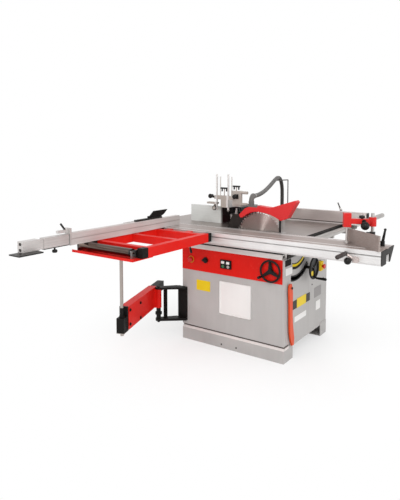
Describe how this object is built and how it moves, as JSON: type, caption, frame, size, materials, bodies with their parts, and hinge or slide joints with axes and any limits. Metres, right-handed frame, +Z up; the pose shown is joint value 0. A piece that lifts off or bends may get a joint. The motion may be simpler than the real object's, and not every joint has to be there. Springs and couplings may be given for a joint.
{
  "type": "panel saw",
  "caption": "Sliding-table panel saw with spindle moulder: tilting blade unit, outrigger on a swing arm, crosscut and rip fences, guard with dust hose.",
  "frame": {"origin": "on the floor, midway between the four floor bolts of the two feet", "axes": "+X along the slide to the operator's end, +Y from the slide to the rear, +Z up"},
  "size_m": [2.002, 3.151, 1.24],
  "materials": {
    "aluminium": "anodised",
    "black_paint": "satin black",
    "black_plastic": "grained",
    "cabinet_paint": "satin warm grey",
    "cast_iron": "ground top",
    "green_plastic": "gloss green",
    "grey_plastic": "grained",
    "hood_paint": "satin maroon-black",
    "hose_rubber": "ribbed dark grey",
    "motor_paint": "grey",
    "orange_plastic": "gloss orange",
    "red_paint": "gloss red",
    "red_plastic": "gloss red",
    "steel": "machined",
    "white_plastic": "gloss white"
  },
  "bodies": {
    "machine": {"cabinet_shell": "cabinet_paint", "base_feet": "cabinet_paint", "front_band": "red_paint", "slide_beam": "aluminium", "main_table": "cast_iron", "table_inserts": "steel", "trunnion_rails": "cast_iron", "panel_trim": "black_plastic", "rip_bar": "steel", "moulder_hood": "hood_paint", "spindle_housing": "cast_iron", "hose_stand": "steel", "dust_manifold": "grey_plastic", "dust_hose": "hose_rubber", "arm_bracket": "black_paint"},
    "moulder_fence": {"moulder_fence": "aluminium"},
    "pressure_unit": {"pressure_unit": "steel"},
    "quill": {"spindle_quill": "steel"},
    "spindle": {"moulder_spindle": "steel"},
    "tilt_unit": {"trunnion_frame": "cast_iron"},
    "lift_screw": {"lift_screw": "steel"},
    "rise_unit": {"arbor_block": "cast_iron", "saw_motor": "motor_paint", "drive_belt": "hose_rubber", "riving_knife": "steel", "blade_guard": "red_plastic"},
    "blade": {"saw_blade": "steel", "saw_arbor": "steel"},
    "motor_pulley": {"motor_pulley": "steel"},
    "rise_wheel": {"rise_wheel": "black_plastic"},
    "tilt_wheel": {"tilt_wheel": "black_plastic"},
    "slide": {"slide_carriage": "aluminium", "slide_caps": "black_plastic", "push_handle": "black_plastic", "clamp_post": "steel"},
    "slide_lock": {"slide_lock": "black_plastic"},
    "mitre_fence": {"mitre_fence": "aluminium"},
    "mitre_lever": {"mitre_lever": "black_plastic"},
    "clamp_arm": {"clamp_arm": "red_paint"},
    "clamp_lever": {"clamp_lever": "black_plastic"},
    "outrigger": {"outrigger_frame": "red_paint", "outrigger_caps": "black_plastic", "roller_brackets": "steel"},
    "roller": {"roller": "steel"},
    "outrigger_clamp": {"outrigger_clamp": "black_plastic"},
    "crosscut_fence": {"crosscut_fence": "aluminium", "end_stop": "steel"},
    "fence_tube": {"fence_tube": "aluminium"},
    "flip_stop": {"flip_stop": "aluminium"},
    "swing_arm": {"swing_arm": "red_paint"},
    "arm_tube": {"arm_tube": "black_paint"},
    "rip_head": {"rip_head": "cast_iron"},
    "rip_fence": {"rip_fence": "aluminium"},
    "rip_lever": {"rip_lever": "black_plastic"},
    "stop_front": {"stop_front": "red_plastic"},
    "stop_side": {"stop_side": "red_plastic"},
    "selector_knob": {"selector_knob": "black_plastic"},
    "start_button": {"start_button": "green_plastic"},
    "off_button": {"off_button": "white_plastic"},
    "push_stick": {"push_stick": "orange_plastic"}
  },
  "joints": [
    {"name": "slide_travel", "type": "slide", "parent": "machine", "child": "slide", "axis": [1, 0, 0], "range_m": [-0.9, 0.75]},
    {"name": "slide_lock_turn", "type": "hinge", "parent": "slide", "child": "slide_lock", "pos_m": [0.885, -0.474, 0.785], "axis": [0, 1, 0], "range_deg": [-180, 180]},
    {"name": "mitre_angle", "type": "hinge", "parent": "slide", "child": "mitre_fence", "pos_m": [1.03, -0.345, 0.85], "axis": [0, 0, -1], "range_deg": [-2, 30]},
    {"name": "mitre_lever_turn", "type": "hinge", "parent": "mitre_fence", "child": "mitre_lever", "pos_m": [1.03, -0.345, 0.86], "axis": [0, 0, 1], "range_deg": [-90, 90]},
    {"name": "clamp_height", "type": "slide", "parent": "slide", "child": "clamp_arm", "axis": [0, 0, 1], "range_m": [0, 0.05]},
    {"name": "clamp_lever_turn", "type": "hinge", "parent": "clamp_arm", "child": "clamp_lever", "pos_m": [0.90427, -0.29891, 0.99], "axis": [0.5164, -0.8563, 0], "range_deg": [0, 90]},
    {"name": "outrigger_shift", "type": "slide", "parent": "slide", "child": "outrigger", "axis": [1, 0, 0], "range_m": [-0.2, 0.2]},
    {"name": "roller_spin", "type": "hinge", "parent": "outrigger", "child": "roller", "pos_m": [-0.325, -1.212, 0.8245], "axis": [1, 0, 0], "continuous": true},
    {"name": "outrigger_clamp_turn", "type": "hinge", "parent": "outrigger", "child": "outrigger_clamp", "pos_m": [-0.272, -0.497, 0.79], "axis": [0, 0, 1], "range_deg": [-60, 30]},
    {"name": "fence_angle", "type": "hinge", "parent": "outrigger", "child": "crosscut_fence", "pos_m": [-0.531, -0.54, 0.85], "axis": [0, 0, 1], "range_deg": [0, 45]},
    {"name": "fence_reach", "type": "slide", "parent": "crosscut_fence", "child": "fence_tube", "axis": [0, -1, 0], "range_m": [-0.005, 0.4]},
    {"name": "stop_flip", "type": "hinge", "parent": "crosscut_fence", "child": "flip_stop", "pos_m": [-0.531, -0.54, 0.944], "axis": [0, -1, 0], "range_deg": [0, 75]},
    {"name": "arm_swing", "type": "hinge", "parent": "machine", "child": "swing_arm", "pos_m": [-0.55, -0.506, 0.3], "axis": [0, 0, 1], "range_deg": [-50, 60]},
    {"name": "arm_reach", "type": "slide", "parent": "swing_arm", "child": "arm_tube", "axis": [0.3469, -0.9379, 0], "range_m": [-0.004, 0.4]},
    {"name": "tilt", "type": "hinge", "parent": "machine", "child": "tilt_unit", "pos_m": [0, -0.194, 0.85], "axis": [-1, 0, 0], "range_deg": [0, 45], "deforming": ["dust_hose"]},
    {"name": "rise", "type": "slide", "parent": "tilt_unit", "child": "rise_unit", "axis": [0, 0, 1], "range_m": [-0.08, 0], "deforming": ["dust_hose"]},
    {"name": "blade_spin", "type": "hinge", "parent": "rise_unit", "child": "blade", "pos_m": [0.135, -0.194, 0.81], "axis": [0, 1, 0], "continuous": true},
    {"name": "motor_spin", "type": "hinge", "parent": "rise_unit", "child": "motor_pulley", "pos_m": [0.135, -0.09, 0.68], "axis": [0, 1, 0], "continuous": true},
    {"name": "rise_wheel_turn", "type": "hinge", "parent": "tilt_unit", "child": "rise_wheel", "pos_m": [0.45, -0.03502, 0.59559], "axis": [1, 0, 0], "range_deg": [-1801, 1]},
    {"name": "lift_screw_turn", "type": "hinge", "parent": "tilt_unit", "child": "lift_screw", "pos_m": [0.238, -0.03502, 0.65], "axis": [0, 0, 1], "range_deg": [-1801, 1]},
    {"name": "tilt_wheel_turn", "type": "hinge", "parent": "machine", "child": "tilt_wheel", "pos_m": [0.324, -0.4, 0.619], "axis": [0, -1, 0], "range_deg": [-1, 1351]},
    {"name": "rip_travel", "type": "slide", "parent": "machine", "child": "rip_head", "axis": [0, 1, 0], "range_m": [-0.58, 0.8]},
    {"name": "rip_shift", "type": "slide", "parent": "rip_head", "child": "rip_fence", "axis": [1, 0, 0], "range_m": [-0.25, 0.1]},
    {"name": "rip_lever_turn", "type": "hinge", "parent": "rip_head", "child": "rip_lever", "pos_m": [0.468, 0.5274, 0.93], "axis": [0, 0, 1], "range_deg": [-60, 60]},
    {"name": "quill_rise", "type": "slide", "parent": "machine", "child": "quill", "axis": [0, 0, 1], "range_m": [-0.045, 0]},
    {"name": "spindle_spin", "type": "hinge", "parent": "quill", "child": "spindle", "pos_m": [-0.208, 0.06, 0.85], "axis": [0, 0, 1], "continuous": true},
    {"name": "moulder_fence_shift", "type": "slide", "parent": "machine", "child": "moulder_fence", "axis": [1, 0, 0], "range_m": [-0.05, 0]},
    {"name": "pressure_height", "type": "slide", "parent": "machine", "child": "pressure_unit", "axis": [0, 0, 1], "range_m": [0, 0.05]},
    {"name": "stop_front_press", "type": "slide", "parent": "machine", "child": "stop_front", "axis": [0, 1, 0], "range_m": [0, 0.005], "stiffness_N_per_m": 900},
    {"name": "stop_side_press", "type": "slide", "parent": "machine", "child": "stop_side", "axis": [-1, 0, 0], "range_m": [0, 0.005], "stiffness_N_per_m": 900},
    {"name": "selector_turn", "type": "hinge", "parent": "machine", "child": "selector_knob", "pos_m": [-0.208, -0.38, 0.625], "axis": [0, -1, 0], "range_deg": [-45, 45]},
    {"name": "start_press", "type": "slide", "parent": "machine", "child": "start_button", "axis": [0, 1, 0], "range_m": [0, 0.003], "stiffness_N_per_m": 600},
    {"name": "off_press", "type": "slide", "parent": "machine", "child": "off_button", "axis": [0, 1, 0], "range_m": [0, 0.003], "stiffness_N_per_m": 600},
    {"name": "stick_swing", "type": "hinge", "parent": "machine", "child": "push_stick", "pos_m": [0.435, -0.305, 0.505], "axis": [1, 0, 0], "range_deg": [-20, 20]}
  ],
  "couplings": [
    {"joint": "motor_spin", "follows": "blade_spin", "ratio": 0.55},
    {"joint": "rise_wheel_turn", "follows": "rise", "rad_per_m": 392.7},
    {"joint": "lift_screw_turn", "follows": "rise", "rad_per_m": 392.7},
    {"joint": "tilt_wheel_turn", "follows": "tilt", "ratio": 30}
  ]
}
